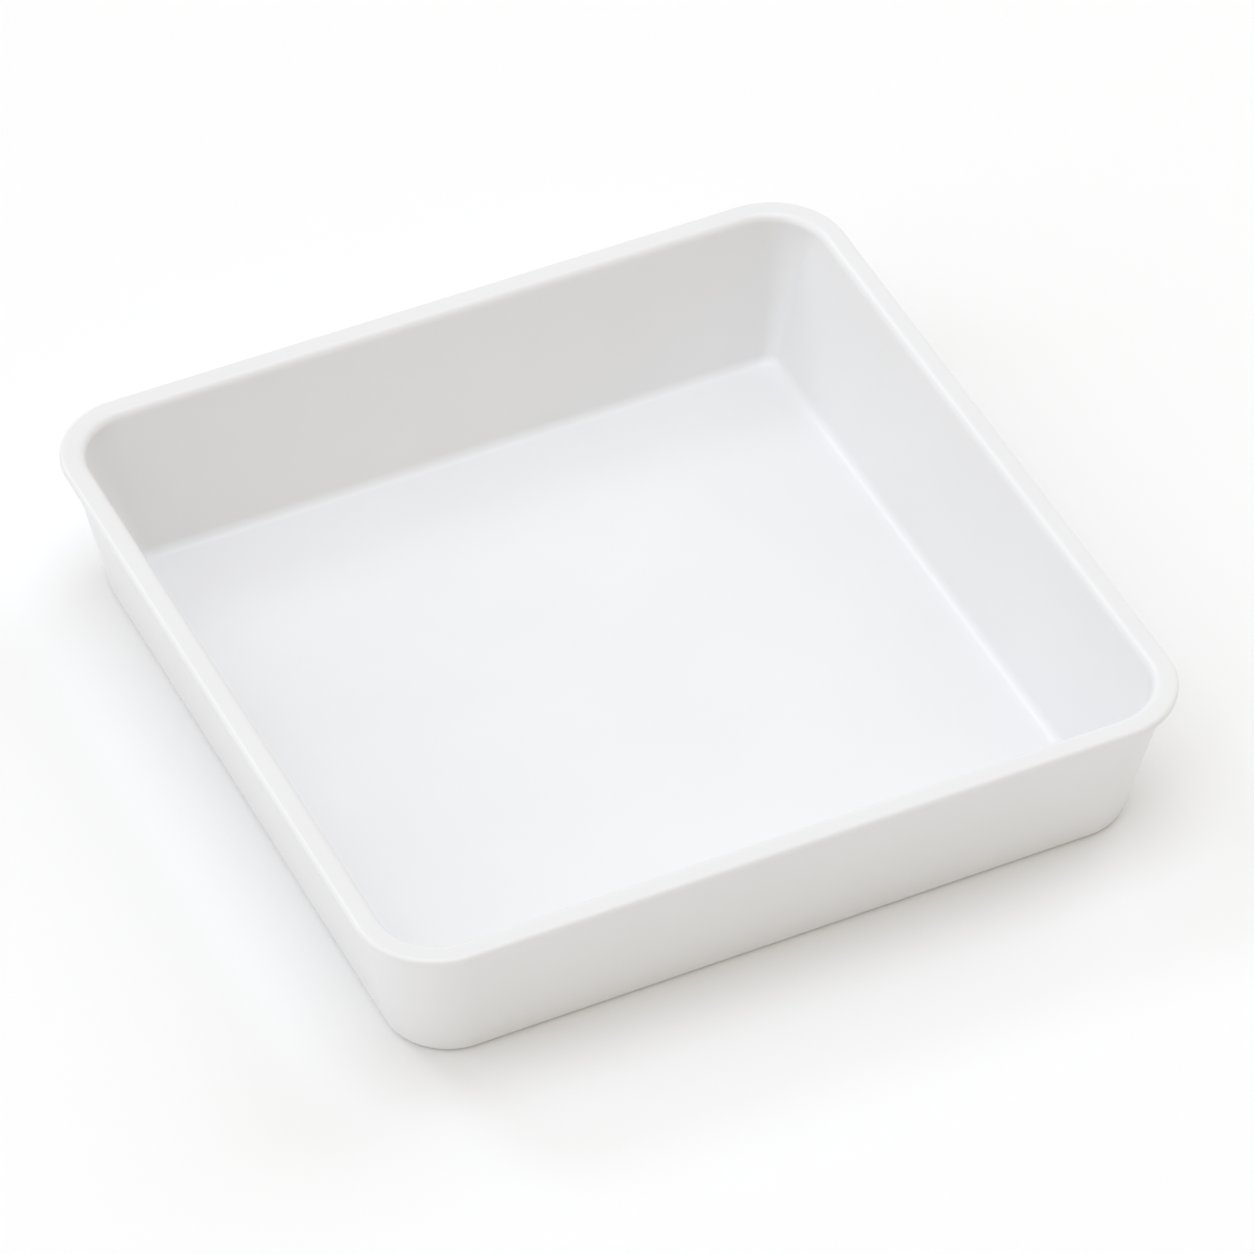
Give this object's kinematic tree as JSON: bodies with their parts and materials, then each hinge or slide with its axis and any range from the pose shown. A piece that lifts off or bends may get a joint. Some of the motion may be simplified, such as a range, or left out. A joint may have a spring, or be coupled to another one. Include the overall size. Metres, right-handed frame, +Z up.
{
  "type": "weighing boat",
  "caption": "Shallow square tray for weighing out powders and liquids, with leaning walls, rounded corners, a flat floor and a flat-topped lip.",
  "frame": {"origin": "centre of the flat underside, on the surface that the boat stands on", "axes": "+Z up out of the mouth; +X and +Y square to two neighbouring walls"},
  "size_m": [0.14, 0.14, 0.027],
  "materials": {
    "white_polystyrene": "white antistatic polystyrene, moulded, soft satin gloss, slightly translucent"
  },
  "bodies": {
    "root": {"weighing_boat": "white_polystyrene"}
  },
  "joints": []
}
